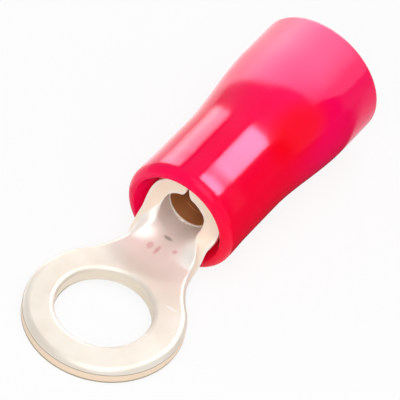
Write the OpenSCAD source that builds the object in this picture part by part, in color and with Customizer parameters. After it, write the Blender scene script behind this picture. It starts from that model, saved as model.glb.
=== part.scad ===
// Insulated ring terminal for a crimped wire: a stamped and rolled sheet-metal terminal,
// and the soft sleeve pushed over its barrel.
// The stud's axis is Z, with the origin at the middle of the stud hole on the ring's underside.
// The barrel and the sleeve run along +X.

/* [Sheet] */
// Thickness of the metal sheet
sheet_t = 0.75; // [0.6:0.05:0.95]
// Radius that the punch rolls over on the ring's upper edge
edge_roll_r = 0.3; // [0.1:0.05:0.35]
// Radius that is left of that roll on the barrel's front edge
wing_roll_r = 0.1; // [0.05:0.05:0.3]
// Radius that the punch rolls over on the stud hole's upper edge
hole_roll_r = 0.2; // [0.1:0.05:0.3]

/* [Ring] */
// Outer diameter of the ring
ring_d = 7.2; // [6.8:0.1:8.4]
// Diameter of the stud hole
stud_hole_d = 4.3; // [3.2:0.1:4.8]

/* [Neck] */
// Width of the neck at its narrowest
neck_w = 3.4; // [3:0.1:3.8]
// Radius of the long fillets from the ring to the neck
neck_fillet_r = 4.5; // [3.6:0.1:6]
// Radius of the shoulders where the blank widens to the barrel
shoulder_r = 1.3; // [0.9:0.1:1.5]
// Distance from the stud's axis to where the neck begins to curl up
curl_start = 4; // [3.6:0.1:4.4]
// Length over which the flat neck curls to the barrel's curve
curl_len = 1.4; // [1:0.1:1.8]

/* [Barrel] */
// Distance from the stud's axis to the barrel's front edge
barrel_front = 5.85; // [5.6:0.05:6.6]
// Length of the barrel from its front edge to its back edge
barrel_len = 4.9; // [4.2:0.1:5.6]
// Diameter of the barrel's bore
barrel_bore_d = 2.1; // [1.8:0.05:2.4]
// Gap left between the two rolled edges
seam_gap = 0.1; // [0.04:0.02:0.2]
// Chamfer inside the barrel's back edge
barrel_chamfer = 0.15; // [0.05:0.05:0.3]
// Number of grip grooves inside the bore
groove_count = 3; // [1:1:3]
// Width of one grip groove along the bore
groove_w = 0.12; // [0.08:0.02:0.3]
// Depth of a grip groove
groove_depth = 0.08; // [0.04:0.02:0.14]
// Spacing of the grip grooves
groove_pitch = 0.92; // [0.7:0.02:1.1]

/* [Sleeve] */
// Distance from the stud's axis to the sleeve's front face
sleeve_front = 5.3; // [5:0.05:5.5]
// Length of the sleeve
sleeve_len = 11.4; // [10.6:0.1:13]
// Outer diameter just behind the front lip
sleeve_front_d = 5.46; // [5.2:0.02:5.8]
// Outer diameter of the waist
waist_d = 5.38; // [5:0.02:5.7]
// Distance from the front face to where the waist is reached
waist_start = 2; // [1.2:0.1:3]
// Distance from the front face to the end of the waist, where the bell begins to flare
flare_start = 4.3; // [3.4:0.1:5]
// Length of the flare
flare_len = 4.9; // [3.5:0.1:5.5]
// Outer diameter of the bell
bell_d = 6.2; // [5.8:0.05:6.8]
// Diameter of the wire entry inside the bell
entry_d = 4.5; // [4:0.1:4.8]
// Length of the straight part of the wire entry
entry_len = 3.8; // [2.8:0.1:4.2]
// Radius of the front face's outer edge
lip_outer_r = 0.45; // [0.2:0.05:0.45]
// How far the rim of the countersunk mouth stands out from the bore
mouth_flare = 0.43; // [0.2:0.01:0.5]
// Depth of the countersunk mouth
mouth_len = 0.9; // [0.5:0.1:1.2]
// Radius of both edges of the bell's end face
bell_edge_r = 0.2; // [0.05:0.05:0.3]
// Radial gap between the barrel and the sleeve
sleeve_gap = 0.02; // [0.01:0.01:0.05]

/* [Hidden] */
// How far a cutting tool reaches past the face that it cuts
over = 1;
// Steps across the floor of the neck, and across each wing that closes over the wire
floor_steps = 20;
wing_steps = 5;
// Steps round a rolled edge, and degrees per step on the outline's arcs
roll_steps = 3;
ring_step_deg = 5;
fillet_steps = 5;
shoulder_steps = 8;
// Steps along a rounded edge and along the flare of the sleeve
round_steps = 6;
flare_steps = 14;

// The sheet's end tapers by this much into the tube's wall, over this length, so the two overlap
tuck = 0.03;
tuck_len = 0.14;

ring_r = ring_d / 2;
bore_r = barrel_bore_d / 2;
barrel_r = bore_r + sheet_t;
// Curved sheet keeps its length on the middle of its thickness
mid_r = bore_r + sheet_t / 2;
// The barrel's underside is flush with the ring's, so its axis is one radius up
axis_z = barrel_r;
barrel_back = barrel_front + barrel_len;
roll_back = barrel_front + wing_roll_r;
tube_front = roll_back + tuck_len / 2;

// Half the width of the rolled blank, and the half angle of the seam that is left open
wing_u = PI * mid_r - seam_gap / 2;
seam_half_deg = 180 * seam_gap / 2 / (PI * mid_r);

// The outline's arcs, in the flat blank: the shoulder's centre, then the fillet's centre,
// which lies where its circle touches the ring from outside and the shoulder from inside
shoulder_c = [barrel_front - shoulder_r, neck_w / 2 + shoulder_r];
fillet_c = circles_meet(ring_r + neck_fillet_r, shoulder_c, neck_fillet_r - shoulder_r);
tangent_deg = atan2(fillet_c[1], fillet_c[0]);
join_dir = shoulder_c - fillet_c;
join_deg = atan2(join_dir[1], join_dir[0]);

// The sleeve's bore on the barrel, and how deep it runs from the front face
seat_r = barrel_r + sleeve_gap;
seat_len = barrel_back - sleeve_front + barrel_chamfer;

// The sleeve's mouth and its edge radii, limited by the walls that they shape
front_wall = sleeve_front_d / 2 - seat_r;
mouth_r = seat_r + min(mouth_flare, 0.65 * front_wall);
bell_wall = (bell_d - entry_d) / 2;
lip_outer = min(lip_outer_r, 0.95 * (sleeve_front_d / 2 - mouth_r));
bell_edge = min(bell_edge_r, 0.45 * bell_wall);

// Upper meeting point of a circle of radius a about the origin and one of radius b about c
function circles_meet(a, c, b) =
    let (d = norm(c), along = (a * a - b * b + d * d) / (2 * d), up = sqrt(a * a - along * along))
    along * c / d + up * [-c[1], c[0]] / d;

function smoothstep(t) = let (q = max(0, min(1, t))) q * q * (3 - 2 * q);

function arc(c, r, from, to, steps) =
    [for (i = [0:steps]) let (a = from + (to - from) * i / steps) c + r * [cos(a), sin(a)]];

// One station of the outline: its point in the flat blank and the inward direction there.
// side is 1 where the arc's own radius points into the sheet, as on a fillet, and -1 on the ring.
function stations_on_arc(c, r, from, to, steps, side) =
    [for (i = [0:steps])
        let (a = from + (to - from) * i / steps, dir = [cos(a), sin(a)])
        [c + r * dir, side * dir]];

function rest_of(list) = [for (i = [1:len(list) - 1]) list[i]];

ring_steps = ceil((180 - tangent_deg) / ring_step_deg);
stations = concat(
    stations_on_arc([0, 0], ring_r, 180, tangent_deg, ring_steps, -1),
    rest_of(stations_on_arc(fillet_c, neck_fillet_r, tangent_deg - 180, join_deg, fillet_steps, 1)),
    rest_of(stations_on_arc(shoulder_c, shoulder_r, join_deg, 0, shoulder_steps, 1)),
    [for (j = [1:wing_steps])
        [[barrel_front, shoulder_c[1] + (wing_u - shoulder_c[1]) * j / wing_steps], [1, 0]]]
);
square_station = [[roll_back, wing_u], [0, 0]];
tucked_station = [[roll_back + tuck_len, wing_u - tuck], [0, 0]];

// The roll on the outline's edge: full round the ring, then fading to the barrel's front edge
ring_end = ring_r * cos(tangent_deg);
function roll_at(s) =
    edge_roll_r + (wing_roll_r - edge_roll_r) * smoothstep((s - ring_end) / (barrel_front - ring_end));

// A level up the sheet's edge, as an inset and a height: the sheared wall, then the rolled part
last_level = roll_steps + 1;
function level(k, s) =
    k == 0 ? [0, 0] :
    let (r = roll_at(s), a = 90 * (k - 1) / roll_steps)
    [r * (1 - cos(a)), sheet_t - r * (1 - sin(a))];

// Curvature of the sheet across its width, at a distance s along the part
function curl(s) = smoothstep((s - curl_start) / curl_len) / mid_r;

// Bends the flat sheet: s along the part, u across the blank, h above the lower face
function bent(s, u, h) =
    let (k = curl(s))
    k == 0 ? [s, u, h] :
    let (r = 1 / k + sheet_t / 2 - h, a = 180 / PI * k * u)
    [s, r * sin(a), sheet_t / 2 + 1 / k - r * cos(a)];

// The point of the outline at a station and a level, as [s, u]
function edge_at(station, k) = station[0] + level(k, station[0][0])[0] * station[1];

// Places across the sheet, from its middle to its edge: the floor, then the wing.
// The wing has width only beyond the shoulder, where the edge lies on the barrel's front edge.
function half_width(s_edge, u_edge) =
    let (floor_u = s_edge < barrel_front ? u_edge : shoulder_c[1], half = floor_steps / 2)
    concat(
        [for (i = [1:half]) floor_u * i / half],
        [for (j = [1:wing_steps]) min(u_edge, floor_u + (wing_u - shoulder_c[1]) * j / wing_steps)]
    );

function mirrored(list) = concat([for (i = [len(list) - 1:-1:0]) -list[i]], [0], list);

// One closed loop round the sheet: lower face, one edge, upper face, other edge.
// Past the roll its edge is square, so the points between the faces all lie on top,
// and gap is how far both faces are drawn in.
function sheet_loop(station, square = false, gap = 0) =
    let (
        low = edge_at(station, 0),
        high = edge_at(station, last_level),
        edge = [for (k = [1:last_level - 1]) let (e = edge_at(station, k))
            [e[0], e[1], square ? sheet_t - gap : level(k, station[0][0])[1]]]
    )
    concat(
        [for (u = mirrored(half_width(station[0][0], low[1]))) bent(low[0], u, gap)],
        [for (e = edge) bent(e[0], e[1], e[2])],
        [for (u = mirrored(half_width(station[0][0], high[1]))) bent(high[0], -u, sheet_t - gap)],
        [for (i = [len(edge) - 1:-1:0]) bent(edge[i][0], -edge[i][1], edge[i][2])]
    );

// Rounds a point to a millionth, so that points which coincide are equal
function snapped(p) = [for (c = p) round(c * 1e6) / 1e6];

// Skin over a row of loops, without the slivers where points of a loop coincide
module skin(loops) {
    rows = len(loops);
    n = len(loops[0]);
    points = [for (l = loops, p = l) snapped(p)];
    sides = [for (q = [0:rows - 2], j = [0:n - 1])
        let (a = q * n + j, b = q * n + (j + 1) % n)
        each [[a, a + n, b], [b, a + n, b + n]]];
    solid = [for (f = sides)
        if (points[f[0]] != points[f[1]] && points[f[1]] != points[f[2]] && points[f[2]] != points[f[0]]) f];
    cap = [for (j = [n - 1:-1:0]) (rows - 1) * n + j];
    polyhedron(points = points, faces = concat(solid, [cap]), convexity = 8);
}

// Lays what is drawn about Z along the barrel's axis, with Z pointing to the wire's side
module along_barrel(x) {
    translate([x, 0, axis_z]) rotate([0, 90, 0]) children();
}

// Takes the sharp corner off the stud hole's upper edge
module stud_hole_roll() {
    corner = stud_hole_d / 2 + hole_roll_r;
    translate([0, 0, sheet_t - hole_roll_r])
        rotate_extrude($fn = 96)
            difference() {
                translate([stud_hole_d / 2 - over, 0]) square([hole_roll_r + over, hole_roll_r + over]);
                translate([corner, 0]) circle(hole_roll_r, $fn = 48);
            }
}

// The exact tube behind the barrel's front edge, open along the seam
module tube() {
    tube_len = barrel_back - tube_front;
    reach = barrel_r + over;
    along_barrel(tube_front)
        difference() {
            cylinder(h = tube_len, r = barrel_r, $fn = 96);
            translate([0, 0, -over]) cylinder(h = tube_len + 2 * over, r = bore_r, $fn = 96);
            for (i = [0:groove_count - 1])
                translate([0, 0, tuck_len / 2 + i * groove_pitch])
                    rotate_extrude($fn = 96)
                        polygon([[0, 0], [bore_r, 0], [bore_r + groove_depth, groove_w], [0, groove_w]]);
            translate([0, 0, tube_len - barrel_chamfer])
                cylinder(h = 2 * barrel_chamfer, r1 = bore_r, r2 = bore_r + 2 * barrel_chamfer, $fn = 96);
            // Upwards is -X here, so the open seam lies at the top
            translate([0, 0, -over])
                linear_extrude(tube_len + 2 * over)
                    polygon([[0, 0], [-reach, reach * tan(seam_half_deg)], [-reach, -reach * tan(seam_half_deg)]]);
        }
}

// The stamped blank, bent, from the ring to the rolled front edge of the barrel
module ring_and_neck() {
    difference() {
        skin(concat(
            [for (s = stations) sheet_loop(s)],
            [sheet_loop(square_station, true), sheet_loop(tucked_station, true, tuck)]
        ));
        translate([0, 0, -over]) cylinder(h = sheet_t + 2 * over, d = stud_hole_d, $fn = 96);
        stud_hole_roll();
    }
}

module terminal() {
    color("#e9e1d5")
        union() {
            ring_and_neck();
            tube();
        }
}

// Outline of the sleeve's wall, as [radius, distance from the front face]
sleeve_profile = concat(
    [[seat_r, mouth_len], [mouth_r, 0]],
    arc([sleeve_front_d / 2 - lip_outer, lip_outer], lip_outer, 270, 360, round_steps),
    [for (i = [1:round_steps])
        let (t = i / round_steps)
        [sleeve_front_d / 2 + (waist_d - sleeve_front_d) / 2 * smoothstep(t),
         lip_outer + (waist_start - lip_outer) * t]],
    [for (i = [0:flare_steps])
        let (t = i / flare_steps)
        [waist_d / 2 + (bell_d - waist_d) / 2 * smoothstep(t), flare_start + flare_len * t]],
    arc([bell_d / 2 - bell_edge, sleeve_len - bell_edge], bell_edge, 0, 90, round_steps),
    arc([entry_d / 2 + bell_edge, sleeve_len - bell_edge], bell_edge, 90, 180, round_steps),
    [[entry_d / 2, sleeve_len - entry_len], [seat_r, seat_len]]
);

module sleeve() {
    color("#e8002d")
        along_barrel(sleeve_front)
            rotate_extrude($fn = 96) polygon(sleeve_profile);
}

terminal();
sleeve();
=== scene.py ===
# %% [markdown]
# # An insulated ring terminal
#
# A ring terminal ends a wire so that it can be held under a screw. A press punches a flat blank
# out of tinned copper sheet: a ring, a narrow neck and two wings. The wings are rolled up until
# their edges nearly meet, which makes the barrel that is crimped onto the wire. A red vinyl
# sleeve is then pushed over the barrel.
#
# The two pieces are drawn the way they are made. The metal is one flat sheet, described by how
# far along it a point lies, how far across, and how high in its thickness, and one bending rule
# rolls all of it at once. The sleeve is a profile turned about the barrel's axis.

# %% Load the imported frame
import math

import bpy
import numpy as np
from mathutils import Matrix, Vector


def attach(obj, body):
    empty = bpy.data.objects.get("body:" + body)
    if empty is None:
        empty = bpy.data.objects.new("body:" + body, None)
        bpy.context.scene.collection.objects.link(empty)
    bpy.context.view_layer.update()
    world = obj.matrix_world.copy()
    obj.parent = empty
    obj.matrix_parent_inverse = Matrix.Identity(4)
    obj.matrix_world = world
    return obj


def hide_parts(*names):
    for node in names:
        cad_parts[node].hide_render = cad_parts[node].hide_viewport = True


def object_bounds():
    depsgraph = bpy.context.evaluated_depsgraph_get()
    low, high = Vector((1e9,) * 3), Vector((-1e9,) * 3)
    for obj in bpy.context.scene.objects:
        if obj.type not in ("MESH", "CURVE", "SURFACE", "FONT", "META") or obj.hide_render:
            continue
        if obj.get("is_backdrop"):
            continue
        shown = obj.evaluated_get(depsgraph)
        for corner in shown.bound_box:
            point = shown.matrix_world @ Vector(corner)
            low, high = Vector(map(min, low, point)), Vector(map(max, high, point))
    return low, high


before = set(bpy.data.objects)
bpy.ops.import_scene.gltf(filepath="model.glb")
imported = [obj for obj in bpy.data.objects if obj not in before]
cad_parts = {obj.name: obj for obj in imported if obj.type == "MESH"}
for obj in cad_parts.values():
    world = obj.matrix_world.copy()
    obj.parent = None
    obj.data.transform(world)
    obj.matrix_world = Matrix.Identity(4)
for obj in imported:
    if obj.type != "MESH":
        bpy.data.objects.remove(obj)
cad_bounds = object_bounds()
print("nodes:", sorted(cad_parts))
print("box of the solids, mm:", [[round(c * 1000, 2) for c in p] for p in cad_bounds])

# %% [markdown]
# ## Sizes
#
# Everything is worked out in millimetres and turned into metres in one place, when a mesh is
# made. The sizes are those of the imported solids: the origin is the middle of the stud hole on
# the ring's underside, Z is the stud's axis, and the barrel runs along +X.

# %% Sizes of the sheet, the ring and the barrel
MM = 0.001

SHEET = 0.75
RING_R = 3.6
HOLE_R = 2.15
NECK_W = 3.4
FILLET_R = 4.5
SHOULDER_R = 1.3
CURL_START = 4.0
CURL_LEN = 1.4
FRONT = 5.85
BACK = 10.75
BORE_R = 1.05
SEAM_GAP = 0.1

BARREL_R = BORE_R + SHEET
MID_R = BORE_R + SHEET / 2
AXIS_Z = BARREL_R
WING_U = math.pi * MID_R - SEAM_GAP / 2
print(f"barrel {2 * BARREL_R} mm outside, blank {2 * WING_U:.2f} mm wide where it is rolled")

# %% [markdown]
# ## Meshes from grids
#
# Every surface here is a rectangular grid of points. A grid is easy to reason about: its four
# edges are known curves, and two grids that share an edge can be welded into one skin. One
# helper turns a grid into quads, and another welds the grids of a piece, turns quads that lost
# a corner into triangles, and fills a Blender mesh.

# %% Grid and mesh helpers
def grid(points, flip=False, **marks):
    """A grid of points, shape (rows, columns, 3), with its quads and one array of marks a name.
    The quad at (i, j) joins that point with its neighbours in the next row and column."""
    rows, cols = points.shape[:2]
    index = np.arange(rows * cols).reshape(rows, cols)
    quads = np.stack([index[:-1, :-1], index[1:, :-1], index[1:, 1:], index[:-1, 1:]], -1)
    quads = quads.reshape(-1, 4)
    if flip:
        quads = quads[:, ::-1]
    marks = {name: np.broadcast_to(value, (rows, cols)).reshape(-1) for name, value in marks.items()}
    return points.reshape(-1, 3), quads, marks


def mirrored(part):
    """The same grid on the other side of the part's middle plane: Y changes sign, and so does
    the order of each quad's corners, which keeps the outside outside."""
    points, quads, marks = part
    return points * (1, -1, 1), quads[:, ::-1], marks


def welded_mesh(name, parts):
    """One mesh from several grids. Points that agree to a hundred-thousandth of a millimetre
    become one, and a quad with two equal corners becomes a triangle."""
    points = np.concatenate([p for p, _, _ in parts])
    starts = np.cumsum([0] + [len(p) for p, _, _ in parts[:-1]])
    quads = np.concatenate([q + start for (_, q, _), start in zip(parts, starts)])
    near = np.round(points, 5) + 0.0
    _, first, group = np.unique(near, axis=0, return_index=True, return_inverse=True)
    quads = group.reshape(-1)[quads]
    same = quads == np.roll(quads, -1, axis=1)
    whole = quads[same.sum(1) == 0]
    short = quads[same.sum(1) == 1]
    turn = (np.argmax(same[same.sum(1) == 1], axis=1)[:, None] + 1 + np.arange(3)) % 4
    short = np.take_along_axis(short, turn, axis=1)
    mesh = bpy.data.meshes.new(name)
    mesh.from_pydata((points[first] * MM).tolist(), [], whole.tolist() + short.tolist())
    for mark in parts[0][2]:
        values = np.concatenate([m[mark] for _, _, m in parts])[first]
        mesh.attributes.new(mark, "FLOAT", "POINT").data.foreach_set("value", values.astype(np.float32))
    mesh.shade_smooth()
    print(f"{name}: {len(mesh.vertices)} points, {len(mesh.polygons)} faces")
    return mesh


def piece(name, mesh, node):
    """A finished piece: an object at the origin that rides with the part and stands for a CAD node,
    which it hides."""
    obj = bpy.data.objects.new(name, mesh)
    bpy.context.scene.collection.objects.link(obj)
    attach(obj, "root")
    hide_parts(node)
    return obj


# %% [markdown]
# ## The blank and its bend
#
# Bending a sheet to a cylinder keeps lengths on the middle of its thickness. If k is the
# curvature, a point at distance u across the blank ends up at the angle k·u round the bend. The
# ring is flat, so k is 0 there. Through the neck k rises smoothly, and from the barrel's front
# edge on it is one over the barrel's middle radius.

# %% Bending the sheet
def smoothstep(t):
    """0 below 0, 1 above 1, and 3t² - 2t³ between them, which starts and ends level."""
    t = np.clip(t, 0, 1)
    return t * t * (3 - 2 * t)


def bend(s, u, h):
    """Where a point of the blank goes: s along the part, u across it, h above the lower face.
    With k = smoothstep(s) / middle radius and e = height from the middle of the sheet,
    Y = sin(k·u) · (1/k - e) and Z = middle + (1 - cos(k·u)) / k + e · cos(k·u)."""
    s, u, h = np.broadcast_arrays(np.asarray(s, float), u, h)
    k = np.maximum(smoothstep((s - CURL_START) / CURL_LEN) / MID_R, 1e-7)
    e = h - SHEET / 2
    y = np.sin(k * u) / k - e * np.sin(k * u)
    z = SHEET / 2 + 2 * np.sin(k * u / 2) ** 2 / k + e * np.cos(k * u)
    return np.stack([s, y, z], -1)


print("barrel's top, outside:", bend(FRONT, WING_U, 0).round(3))


# %% [markdown]
# ## The outline
#
# The punch cuts one line: round the ring, in along a long fillet, round a tight shoulder, and
# out along the front edge of the wing, then back along the wing's side. It is kept as stations,
# each a point of the blank with the direction that leads into the metal.

# %% The outline of half the blank
def circles_meet(a, c, b):
    """The upper point where a circle of radius a about the origin meets one of radius b about c."""
    d = math.hypot(*c)
    along = (a * a - b * b + d * d) / (2 * d)
    up = math.sqrt(a * a - along * along)
    return np.array([along * c[0] - up * c[1], along * c[1] + up * c[0]]) / d


def arc_stations(c, r, start, stop, count, side):
    """Stations on an arc, evenly by angle: the point c + r·(cos, sin), and side times that
    direction as the way into the metal."""
    a = np.radians(np.linspace(start, stop, count))
    out = np.stack([np.cos(a), np.sin(a)], -1)
    return np.asarray(c) + r * out, side * out


SHOULDER_C = np.array([FRONT - SHOULDER_R, NECK_W / 2 + SHOULDER_R])
FILLET_C = circles_meet(RING_R + FILLET_R, SHOULDER_C, FILLET_R - SHOULDER_R)
TANGENT = math.degrees(math.atan2(FILLET_C[1], FILLET_C[0]))
JOIN = math.degrees(math.atan2(*(SHOULDER_C - FILLET_C)[::-1]))

RING_N, FILLET_N, SHOULDER_N = 91, 33, 61
arcs = [
    arc_stations((0, 0), RING_R, 180, TANGENT, RING_N, -1),
    arc_stations(FILLET_C, FILLET_R, TANGENT - 180, JOIN, FILLET_N, 1),
    arc_stations(SHOULDER_C, SHOULDER_R, JOIN, 0, SHOULDER_N, 1),
]
edge_point = np.concatenate([a[0] if i == 0 else a[0][1:] for i, a in enumerate(arcs)])
edge_inward = np.concatenate([a[1] if i == 0 else a[1][1:] for i, a in enumerate(arcs)])
print("outline stations up to the wing:", len(edge_point))

# %% [markdown]
# ## The punched edge
#
# A punch does not cut a square edge. It first drags the upper face down, which leaves a soft
# roll, and then shears the rest of the thickness, which leaves an upright wall. Each station
# carries this small profile: up the wall, then along a part of an ellipse that meets the wall at
# a slight corner. The roll is widest round the ring and dies away along the neck, because the
# wings' front edge was cut last, in a sharper die.

# %% The profile of the punched edge
HOLE_ROLL = (0.24, 0.16)
WALL_STEPS, ROLL_STEPS = 5, 10

steep = np.radians(np.linspace(14, 90, ROLL_STEPS))
roll_across = (np.cos(steep[0]) - np.cos(steep)) / np.cos(steep[0])
roll_rise = (np.sin(steep) - np.sin(steep[0])) / (1 - np.sin(steep[0]))
wall_rise = np.linspace(0, 1, WALL_STEPS)
wall_mark = np.repeat([1.0, 0.0], [WALL_STEPS, ROLL_STEPS - 1])


def edge_strip(point, inward, roll, lean):
    """The punched edge along some stations, with each station's roll as its width and its depth,
    and how far the wall leans out at its top.
    A level is an inset and a height: up the wall to where the roll begins, then over the roll.
    The station moves inwards by the inset and up to the height, and is bent."""
    width, depth = roll
    inset = np.concatenate([-lean * wall_rise, width * roll_across[1:] - lean], 1)
    height = np.concatenate([(SHEET - depth) * wall_rise, SHEET - depth * (1 - roll_rise[1:])], 1)
    moved = point[:, None] + inset[..., None] * inward[:, None]
    return bend(moved[..., 0], moved[..., 1], height)


def along(places, values):
    """A value for every station, straight between values given at places along the part."""
    return np.interp(edge_point[:, 0], places, values)[:, None]


PLACES = [2.6, 4.2, 4.6, 5.0, 5.3, 5.6, FRONT]
far_roll = (along(PLACES, [0.32, 0.32, 0.36, 0.42, 0.34, 0.06, 0]),
            along(PLACES, [0.31, 0.33, 0.45, 0.52, 0.36, 0.08, 0]))
near_roll = (along(PLACES, [0.32, 0.14, 0.06, 0.04, 0.03, 0.02, 0]),
             along(PLACES, [0.31, 0.14, 0.06, 0.04, 0.03, 0.02, 0]))
near_lean = along(PLACES, [0, 0, 0.14, 0.2, 0.2, 0.06, 0])
print("roll at the ring", far_roll[0][0], "and widest on the far shoulder", far_roll[0].max())

# %% The ring and the neck
ACROSS = 22


def inner_border(r, stop):
    """The inner border of half the blank: round the stud hole, then on along the middle line."""
    a = np.radians(np.linspace(180, 0, RING_N + FILLET_N - 1))
    rim = r * np.stack([np.cos(a), np.sin(a)], -1)
    on = np.linspace(r, stop, SHOULDER_N)[1:]
    return np.concatenate([rim, np.stack([on, 0 * on], -1)])


def face(outer, inner, h):
    """A face of the sheet between two borders: straight lines from each inner point to its outer
    one, cut into even steps and bent."""
    t = np.linspace(0, 1, ACROSS + 1)[None, :, None]
    flat = inner[:, None] * (1 - t) + outer[:, None] * t
    return bend(flat[..., 0], flat[..., 1], h)


turn = np.radians(np.linspace(180, 0, RING_N + FILLET_N - 1))
rim_out = np.stack([np.cos(turn), np.sin(turn)], -1)
hole_roll = [np.full((len(turn), 1), size) for size in HOLE_ROLL]


def half_blank(roll, lean):
    """Half of the ring and neck: the upper face, the lower face, the outer edge and the hole's."""
    crest = edge_point + (roll[0] - lean) * edge_inward
    return [
        grid(face(crest, inner_border(HOLE_R + HOLE_ROLL[0], FRONT), SHEET), wall=0.0),
        grid(face(edge_point, inner_border(HOLE_R, FRONT), 0.0), flip=True, wall=0.0),
        grid(edge_strip(edge_point, edge_inward, roll, lean), flip=True, wall=wall_mark),
        grid(edge_strip(HOLE_R * rim_out, rim_out, hole_roll, 0 * hole_roll[0]), wall=wall_mark),
    ]


blank = half_blank(far_roll, 0 * near_lean) + [mirrored(p) for p in half_blank(near_roll, near_lean)]

# %% [markdown]
# ## The barrel
#
# Behind the front edge the section of the sheet does not change, so half of it is drawn once, as
# an outer chain of points and an inner one that meet at the wing's tip, and swept back. The tips
# were rolled by the punch as well, and more strongly, so where the two wings meet they leave a
# V-shaped groove inside the seam.

# %% Half a section of the barrel
WING_N, TIP_N = 16, 9
TIP_ROLL = (0.36, 0.5)
TIP_BACK = 0.1
quarter = np.radians(np.linspace(0, 90, TIP_N))
floor_u = np.linspace(0, SHOULDER_C[1], ACROSS + 1)


def chain(flat_end, round_u, round_h, h):
    """Across the floor, then across the wing to flat_end, then round the tip."""
    wing = np.linspace(SHOULDER_C[1], flat_end, WING_N + 1)[1:]
    u = np.concatenate([floor_u, wing, round_u[1:]])
    height = np.concatenate([np.full(len(floor_u) + len(wing), h), round_h[1:]])
    return u, height


outer_u, outer_h = chain(WING_U - TIP_BACK, WING_U - TIP_BACK * (1 - np.sin(quarter)),
                         TIP_BACK * (1 - np.cos(quarter)), 0.0)
inner_u, inner_h = chain(WING_U - TIP_ROLL[0], WING_U - TIP_ROLL[0] * (1 - np.sin(quarter)),
                         SHEET - TIP_ROLL[1] * (1 - np.cos(quarter)), SHEET)
tip_wall = np.linspace(outer_h[-1], inner_h[-1], WALL_STEPS)

# %% The swept barrel, its grip grooves and its two ends
GROOVES, GROOVE_START, GROOVE_PITCH, GROOVE_W, GROOVE_DEPTH = 3, 6.24, 0.92, 0.12, 0.08
CHAMFER = 0.15
groove_at = GROOVE_START + GROOVE_PITCH * np.arange(GROOVES)
rows = np.unique(np.round(np.concatenate([
    np.linspace(FRONT, BACK, 60),
    (groove_at[:, None] + [0, GROOVE_W / 2, GROOVE_W, GROOVE_W + 0.004]).ravel(),
    [BACK - CHAMFER],
]), 6))
into = (rows[:, None] - groove_at) / GROOVE_W
groove = np.where((into >= 0) & (into <= 1), into, 0).max(1) * GROOVE_DEPTH
flare_in = np.maximum(rows - (BACK - CHAMFER), 0)

away = smoothstep((WING_U - TIP_ROLL[0] - inner_u) / 0.25)
depth = groove[:, None] * away + flare_in[:, None] * (inner_h - inner_h[-1]) / (SHEET - inner_h[-1])
half = [grid(bend(rows[:, None], inner_u, inner_h - depth), wall=0.0)]
half.append(grid(bend(rows[:, None], outer_u, outer_h), flip=True, wall=0.0))
half.append(grid(bend(rows[:, None], WING_U, tip_wall), flip=True, wall=1.0))


def end_face(s, first, drop=0.0):
    """The cut end of the sheet at s: level lines from the outer chain to the inner one."""
    t = wall_rise[None, :]
    u = outer_u[first:, None] * (1 - t) + inner_u[first:, None] * t
    h = outer_h[first:, None] * (1 - t) + (inner_h - drop)[first:, None] * t
    return bend(s, u, h)


half.append(grid(end_face(FRONT, ACROSS), flip=True, wall=1.0))
half.append(grid(end_face(BACK, 0, depth[-1]), wall=1.0))


def handled(points):
    """Small faults of the press: the ring's outline sits 0.07 mm off the hole's middle, and the
    near wing stands out a little where the shoulder ends."""
    x, y, z = points[..., 0], points[..., 1], points[..., 2]
    off = smoothstep((np.hypot(x, y) - HOLE_R - 0.35) / 0.8) * (1 - smoothstep((x - 1.5) / 2.5))
    out = smoothstep((x - 5.0) / 0.5) * (1 - smoothstep((x - 5.82) / 0.3)) * smoothstep((-y - 0.7) / 0.7)
    return points + np.stack([0.02 * off, -0.07 * off - 0.15 * out, 0 * z], -1)


grids = blank + half + [mirrored(part) for part in half]
parts = [(handled(points), quads, marks) for points, quads, marks in grids]
terminal_mesh = welded_mesh("tin_terminal", parts)
terminal_mesh.set_sharp_from_angle(angle=math.radians(35))
terminal = piece("tin_terminal", terminal_mesh, "terminal")

# %% [markdown]
# ## The sleeve
#
# The sleeve is moulded, and round all over. Its wall is one closed profile, carried round the
# barrel's axis.

# %% The sleeve's profile
SLEEVE_FRONT, SLEEVE_LEN = 5.3, 11.4
NOSE_D, WAIST_D, BELL_D, ENTRY_D, MOUTH_D = 5.46, 5.38, 6.2, 4.5, 4.5
SEAT_R = BARREL_R + 0.02


def arc(c, r, start, stop, count):
    """Points on an arc about c, as [radius, distance from the front face]."""
    a = np.radians(np.linspace(start, stop, count))
    return np.stack([c[0] + r * np.cos(a), c[1] + r * np.sin(a)], -1)


t = np.linspace(0, 1, 33)
nose = np.stack([NOSE_D / 2 + (WAIST_D - NOSE_D) / 2 * smoothstep(t), 0.45 + 1.55 * t], -1)
flare = np.stack([WAIST_D / 2 + (BELL_D - WAIST_D) / 2 * smoothstep(t), 4.3 + 4.9 * t], -1)


def line(a, b, count):
    """Points from a to b, without the two ends."""
    return np.linspace(a, b, count + 2)[1:-1]


corners = [
    np.array([[SEAT_R, 0.9]]),
    arc((MOUTH_D / 2 + 0.04, 0.06), 0.06, 205, 270, 6),
    arc((NOSE_D / 2 - 0.45, 0.45), 0.45, 270, 360, 17)[:-1],
    nose, flare,
    arc((BELL_D / 2 - 0.2, SLEEVE_LEN - 0.2), 0.2, 0, 90, 9),
    arc((ENTRY_D / 2 + 0.2, SLEEVE_LEN - 0.2), 0.2, 90, 180, 9),
    np.array([[ENTRY_D / 2, SLEEVE_LEN - 3.8], [SEAT_R, 5.6]]),
]
profile = []
for a, b in zip(corners, corners[1:] + corners[:1]):
    profile.append(a)
    gap = np.linalg.norm(b[0] - a[-1])
    profile.append(line(a[-1], b[0], int(gap / 0.25)))
profile = np.concatenate(profile + [corners[0][:1]])

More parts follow.
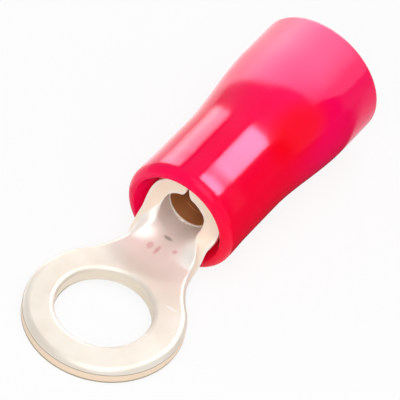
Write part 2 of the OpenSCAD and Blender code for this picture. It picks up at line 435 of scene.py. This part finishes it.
TURNS = 192
turn = np.linspace(0, 2 * math.pi, TURNS + 1)
r, x = profile[:, 0][:, None], SLEEVE_FRONT + profile[:, 1][:, None]
sleeve_points = np.stack([x + 0 * turn, r * np.sin(turn), AXIS_Z - r * np.cos(turn)], -1)
sleeve_mesh = welded_mesh("vinyl_sleeve", [grid(sleeve_points, flip=True)])
sleeve_mesh.set_sharp_from_angle(angle=math.radians(35))
sleeve = piece("vinyl_sleeve", sleeve_mesh, "sleeve")

# %% [markdown]
# ## Colours and nodes
#
# Colours are written as sRGB hex values and turned into linear ones by one function. Another
# small function adds a shader node, sets what is given as a number and links what is given as
# another node's output.

# %% Colour and node helpers
def colour(code):
    """The linear colour of an sRGB hex value, as Blender's sockets take it."""
    srgb = np.array([int(code[i:i + 2], 16) for i in (1, 3, 5)]) / 255
    linear = np.where(srgb <= 0.04045, srgb / 12.92, ((srgb + 0.055) / 1.055) ** 2.4)
    return (*linear.tolist(), 1.0)


def add(tree, kind, settings=None, **inputs):
    """Adds a node with its settings, and sets or links its inputs. An input is named by its
    socket, with _ for a space, or by in0, in1 and so on for its place. Returns its first output."""
    node = tree.nodes.new("ShaderNode" + kind)
    for name, value in (settings or {}).items():
        setattr(node, name, value)
    for name, value in inputs.items():
        numbered = name[:2] == "in" and name[2:].isdigit()
        socket = node.inputs[int(name[2:]) if numbered else name.replace("_", " ")]
        if isinstance(value, bpy.types.NodeSocket):
            tree.links.new(value, socket)
        else:
            socket.default_value = value
    return next((o for o in node.outputs if o.enabled), None)


def maths(tree, operation, a, b=0.0):
    """One step of arithmetic on numbers or outputs."""
    return add(tree, "Math", {"operation": operation}, in0=a, in1=b)


def times(tree, a, b):
    """The product of two numbers or outputs."""
    return maths(tree, "MULTIPLY", a, b)


def distance(tree, a, b):
    """The square root of a² + b²."""
    squares = maths(tree, "ADD", maths(tree, "POWER", a, 2.0), maths(tree, "POWER", b, 2.0))
    return maths(tree, "SQRT", squares)


def ramp(tree, value, low, high):
    """0 where the value is at or below low, 1 at or above high, and smooth between them."""
    return add(tree, "MapRange", {"interpolation_type": "SMOOTHSTEP"}, Value=value,
               From_Min=low, From_Max=high)


def mix(tree, factor, a, b):
    """A colour between a and b."""
    return add(tree, "MixRGB", {}, Fac=factor, Color1=a, Color2=b)


def material(name, obj):
    """Gives a piece a new material and returns its empty node tree."""
    mat = bpy.data.materials.new(name)
    mat.use_nodes = True
    mat.node_tree.nodes.clear()
    obj.data.materials.clear()
    obj.data.materials.append(mat)
    return mat.node_tree


def millimetres(tree):
    """The object's own coordinates, in millimetres, as a vector and as x, y and z."""
    coords = tree.nodes.new("ShaderNodeTexCoord").outputs["Object"]
    vector = add(tree, "VectorMath", {"operation": "SCALE"}, in0=coords, Scale=1000.0)
    split = tree.nodes.new("ShaderNodeSeparateXYZ")
    tree.links.new(vector, split.inputs[0])
    return vector, *split.outputs


def noise(tree, vector, per_mm, detail=2.0, roughness=0.5):
    """Smooth random values round 0.5, with so many blotches to the millimetre."""
    return add(tree, "TexNoise", {}, Vector=vector, Scale=per_mm, Detail=detail, Roughness=roughness)


def spot(tree, vector, at, size):
    """1 in the middle of an ellipsoid and 0 outside it: a soft mark at a place on the part."""
    away = add(tree, "VectorMath", {"operation": "SUBTRACT"}, in0=vector, in1=at)
    away = add(tree, "VectorMath", {"operation": "DIVIDE"}, in0=away, in1=size)
    length = tree.nodes.new("ShaderNodeVectorMath")
    length.operation = "LENGTH"
    tree.links.new(away, length.inputs[0])
    return ramp(tree, length.outputs["Value"], 1.0, 0.35)


# %% [markdown]
# ## The metal
#
# Electro-tinned copper is a thin, matte, warm white metal over copper. The rolled face is
# smoother than the edge that the punch sheared, which is why the wall gets a colour and a
# roughness of its own. Tin hardly reaches into the barrel, so the copper shows there. Handling
# leaves small smears and a scratch.

# %% Tin plate over copper
# Smears, nicks and a scratch on the upper face: place and size in mm, colour, strength.
MARKS = [
    ((4.1, 0.1, 0.8), (0.9, 0.9, 0.6), "#efcfc8", 0.15),
    ((4.19, 0.47, 0.8), (0.3, 0.2, 0.5), "#dfa3a0", 0.5),
    ((4.16, 0.08, 0.8), (0.38, 0.13, 0.5), "#d99c9a", 0.6),
    ((4.53, -0.6, 0.85), (0.16, 0.16, 0.5), "#dfa3a0", 0.5),
    ((5.02, 0.08, 0.76), (0.13, 0.3, 0.3), "#8a7f74", 0.6),
    ((1.82, -2.3, 0.75), (0.05, 0.4, 0.3), "#ffffff", 0.9),
]
tree = material("electro_tinned_copper", terminal)
spot_of, x, y, z = millimetres(tree)
wall = tree.nodes.new("ShaderNodeAttribute")
wall.attribute_name = "wall"
wall = wall.outputs["Fac"]

clouds = noise(tree, spot_of, 0.55, detail=3.0)
tin = mix(tree, ramp(tree, clouds, 0.35, 0.7), colour("#f4ece1"), colour("#ece2d4"))
# Towards the neck the tin is painted whiter: painted light for the brighter light on the neck and in the
# trough.
tin = mix(tree, ramp(tree, x, 2.6, 4.2), tin, colour("#fffaf2"))
for at, size, code, strength in MARKS:
    tin = mix(tree, times(tree, spot(tree, spot_of, at, size), strength), tin, colour(code))
sheared = mix(tree, ramp(tree, x, 2.0, 4.6), colour("#fbe6cf"), colour("#fdf2df"))
sheared = mix(tree, ramp(tree, distance(tree, x, y), 2.6, 2.4), sheared, colour("#f6ecdd"))
tin = mix(tree, wall, tin, sheared)
# The mark is halfway between 0 and 1 only where the roll meets the wall. Round the back of the ring a
# dark line is painted there: painted shade for the dark reflection at that corner.
painted_crease_shade = times(tree, times(tree, wall, maths(tree, "SUBTRACT", 1.0, wall)), 4.0)
painted_crease_shade = times(tree, painted_crease_shade, ramp(tree, x, 1.5, -0.5))
tin = mix(tree, times(tree, painted_crease_shade, 0.7), tin, colour("#6f6650"))
radius = distance(tree, y, maths(tree, "SUBTRACT", z, AXIS_Z))
past_groove = ramp(tree, x, GROOVE_START + GROOVE_W, GROOVE_START + GROOVE_W + 0.05)
bare = times(tree, past_groove, ramp(tree, radius, BORE_R + 0.3, BORE_R + 0.12))
tin = mix(tree, bare, tin, colour("#cf9058"))
hills = noise(tree, spot_of, 2.2, detail=4.0, roughness=0.55)
dents = add(tree, "Bump", {}, Strength=0.25, Distance=0.00002, Height=hills)
rough = maths(tree, "ADD", times(tree, wall, 0.25), 0.42)
shader = add(tree, "BsdfPrincipled", {}, Base_Color=tin, Metallic=0.45, Roughness=rough, Normal=dents)
add(tree, "OutputMaterial", {}, Surface=shader)

# %% [markdown]
# ## The vinyl
#
# A moulded sleeve takes the polish of its mould, so it is glossy and red, with slow random changes
# of hue. The bell is painted a bluer red, a painted sheen for the pale haze of reflected light on it,
# and one spot on the flare is painted pure red, a painted dark reflection. The ripple is the faint
# flow of the moulding, a millimetre or two from crest to crest.

# %% Moulded red vinyl
tree = material("moulded_red_vinyl", sleeve)
spot_of, x, y, z = millimetres(tree)
drift = ramp(tree, noise(tree, spot_of, 0.12, detail=1.0), 0.42, 0.6)
red = mix(tree, drift, colour("#ff004c"), colour("#ff0032"))
# The bell is painted a bluer red: a painted sheen for the pale haze of reflected light on it.
red = mix(tree, ramp(tree, x, 9.6, 13.0), red, colour("#ff0056"))
# A spot on the near side of the flare is painted pure red: a painted dark reflection, where the vinyl
# mirrors nothing bright.
painted_dark_reflection = times(tree, spot(tree, spot_of, (11.4, -2.0, 3.9), (2.6, 1.5, 1.5)), 0.75)
red = mix(tree, painted_dark_reflection, red, colour("#ff0000"))
ripple = add(tree, "Bump", {}, Strength=0.08, Distance=0.00003, Height=noise(tree, spot_of, 0.7, 2.0))
shader = add(tree, "BsdfPrincipled", {}, Base_Color=red, Roughness=0.13, Specular_IOR_Level=0.25,
             Normal=ripple)
shader.node.inputs["Specular Tint"].default_value = (1.0, 0.5, 0.95, 1.0)
add(tree, "OutputMaterial", {}, Surface=shader)

# %% [markdown]
# ## Floor, world and lamps
#
# The floor is tilted to touch the ring's front edge and the bell's rim, because the part itself
# stays in its own frame. The sleeve's nose hangs lower than the line between those two, so it
# dips a third of a millimetre into the floor there. The floor looks nearly white to the camera
# and still takes the part's shadow. Two large soft lamps and a pale world light everything.

# %% The floor
TILT = math.atan2(1.3, 16.5 + RING_R)
FLOOR_HALF = 400.0
FLOOR_GAP = 0.01
floor_mesh = bpy.data.meshes.new("floor")
floor_corners = [(x * FLOOR_HALF, y * FLOOR_HALF) for x, y in ((-1, -1), (1, -1), (1, 1), (-1, 1))]
floor_points = [(x * MM, y * MM, (-(x + RING_R) * math.tan(TILT) - FLOOR_GAP) * MM)
                for x, y in floor_corners]
floor_mesh.from_pydata(floor_points, [], [(0, 1, 2, 3)])
floor = bpy.data.objects.new("floor", floor_mesh)
bpy.context.scene.collection.objects.link(floor)
floor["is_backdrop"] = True
tree = material("pale_table", floor)
lit = add(tree, "BsdfDiffuse", {}, Color=colour("#f4f4f4"))
white = add(tree, "Emission", {}, Color=(1, 1, 1, 1), Strength=1.0)
path = tree.nodes.new("ShaderNodeLightPath")
share = times(tree, path.outputs["Is Camera Ray"], 0.88)
mixed = add(tree, "MixShader", {}, in0=share, in1=lit, in2=white)
add(tree, "OutputMaterial", {}, Surface=mixed)

# %% World and lamps
world = bpy.data.worlds.new("studio")
bpy.context.scene.world = world
world.use_nodes = True
world.node_tree.nodes.clear()
back = add(world.node_tree, "Background", {}, Color=(1, 1, 1, 1), Strength=0.6)
add(world.node_tree, "OutputWorld", {}, Surface=back)


def softbox(name, at, aim, width, power):
    """A round area lamp at a place, turned so that it shines at a point, all in millimetres."""
    lamp = bpy.data.lights.new(name, "AREA")
    lamp.shape, lamp.size, lamp.energy = "DISK", width * MM, power
    obj = bpy.data.objects.new(name, lamp)
    obj.location = Vector(at) * MM
    obj.rotation_euler = (Vector(at) - Vector(aim)).to_track_quat("Z", "Y").to_euler()
    obj.visible_camera = False
    bpy.context.scene.collection.objects.link(obj)


softbox("key", (-10, -30, 130), (5, 0, 1), 120, 0.045)
softbox("fill", (-75, -36, 95), (5, 0, 1), 90, 0.04)

# %% [markdown]
# ## Cards for the sheen
#
# Glossy vinyl shows what stands round it. White cards give it its long highlights. They are
# seen by glossy surfaces only, so they throw no light on the matte ones. Most are bent on a
# cylinder about the barrel's axis, and two lie flat on the floor. Two are almost black, to keep
# the near edge of the sleeve dark. Each glows by a value that is kept at its points.

# %% The cards and their glow
def card_material():
    """A surface that glows as strongly as the value at its points says."""
    mat = bpy.data.materials.new("white_card")
    mat.use_nodes = True
    mat.node_tree.nodes.clear()
    glow = mat.node_tree.nodes.new("ShaderNodeAttribute")
    glow.attribute_name = "glow"
    light = add(mat.node_tree, "Emission", {}, Color=(1, 1, 1, 1), Strength=glow.outputs["Fac"])
    add(mat.node_tree, "OutputMaterial", {}, Surface=light)
    return mat


CARD = card_material()


def card(name, points, glow):
    """A card from a grid of points, seen by glossy surfaces only."""
    mesh = welded_mesh(name, [grid(points, glow=glow)])
    mesh.materials.append(CARD)
    obj = bpy.data.objects.new(name, mesh)
    obj.visible_camera = obj.visible_diffuse = obj.visible_shadow = False
    bpy.context.scene.collection.objects.link(obj)
    obj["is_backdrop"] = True


def bent_card(name, radius, turn, x, glow):
    """A card on a cylinder about the barrel: turned by so many degrees from straight up towards
    +Y, at x along it. A row of the grid has one turn, a column one share of the way along x."""
    a = np.radians(turn)[:, None]
    points = np.stack(np.broadcast_arrays(x, radius * np.sin(a), AXIS_Z + radius * np.cos(a)), -1)
    card(name, points, glow)


def oval(turn, x, middle, half):
    """1 inside an oval about a turn and an x, 0 outside it, with a soft edge."""
    away = abs((turn[:, None] - middle[0]) / half[0]) ** 3 + abs((x - middle[1]) / half[1]) ** 3
    return smoothstep((1 - away) / 0.3)


STRIP_R, BELL_CARD_R, SHADE_R = 80, 9, 70
turn, x = np.linspace(-50, 8, 60), np.linspace(60, 80, 60)[None]
bent_card("near_strip", STRIP_R, turn, x, 32 * oval(turn, x, (-21, 69), (26, 5.5)))
turn = np.linspace(40, 112, 60)
fall = np.interp(turn, [46, 52, 77, 90, 112], [0, 10.5, 10.5, 4.5, 2.5])[:, None]
bent_card("far_strip", STRIP_R, turn, x, fall * smoothstep((5.5 - abs(x - 69)) / 0.8))

turn = np.linspace(-66, 120, 94)
front = np.interp(turn, [-66, -44, 20, 120], [19.7, 15.9, 15.1, 16.2])[:, None]
glow = np.interp(turn, [-66, -45, -30, -15, 5, 30, 50, 75, 95, 120],
                 [2.5, 3.5, 6, 8.5, 10.5, 11.5, 9.5, 3.8, 2, 1.5])
bent_card("bell_card", BELL_CARD_R, turn, front + (60 - front) * np.linspace(0, 1, 12), glow[:, None])

CARD_LIFT, FLOOR_SLOPE = 0.03, 0.0646
x, y = np.linspace(-2, 60, 16)[:, None], np.linspace(0, 1, 8)
lies = CARD_LIFT - (x + RING_R) * FLOOR_SLOPE
card("far_bounce", np.stack(np.broadcast_arrays(x, 5 + 60 * y, lies), -1), 1.6)
y = np.linspace(3, -60, 30)
x = 7 + (7 + 0.77 * abs(y)) * np.linspace(0, 1, 12)[:, None]
lies = CARD_LIFT - (x + RING_R) * FLOOR_SLOPE
card("near_flag", np.stack(np.broadcast_arrays(x, y, lies), -1), 0.05)
bent_card("near_shade", SHADE_R, np.linspace(-100, -52, 12), np.linspace(48, 64, 6)[None], 0.05)

# %% [markdown]
# ## Camera
#
# A long lens looks down on the ring from the front and side, so that the ring lies at the lower
# left and the bell at the upper right. Its directions are made square to each other.

# %% The camera
EYE = Vector((-152.36, -76.01, 200.06))
ahead = Vector((0.6002, 0.2859, -0.7470)).normalized()
right = Vector((0.5591, -0.8178, 0.1362))
right = (right - right.dot(ahead) * ahead).normalized()
up = right.cross(ahead)
camera_data = bpy.data.cameras.new("camera")
camera_data.sensor_width = 36
camera_data.lens = 6084.64 / 400 * 36
camera_data.clip_start, camera_data.clip_end = 0.01, 10
camera = bpy.data.objects.new("camera", camera_data)
camera.matrix_world = Matrix((
    (right.x, up.x, -ahead.x, EYE.x * MM),
    (right.y, up.y, -ahead.y, EYE.y * MM),
    (right.z, up.z, -ahead.z, EYE.z * MM),
    (0, 0, 0, 1)))
bpy.context.scene.collection.objects.link(camera)
bpy.context.scene.camera = camera
bpy.context.scene.view_settings.view_transform = "Standard"

# %% [markdown]
# ## Finish
#
# The boxes of the solids and of the finished pieces are kept side by side, so that a piece that
# outgrew its solid would be noticed.

# %% Finish
sizes = {"cad": [list(p) for p in cad_bounds], "visual": [list(p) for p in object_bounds()]}
for what, box in sizes.items():
    print(what, "box, mm:", [[round(c * 1000, 2) for c in p] for p in box])
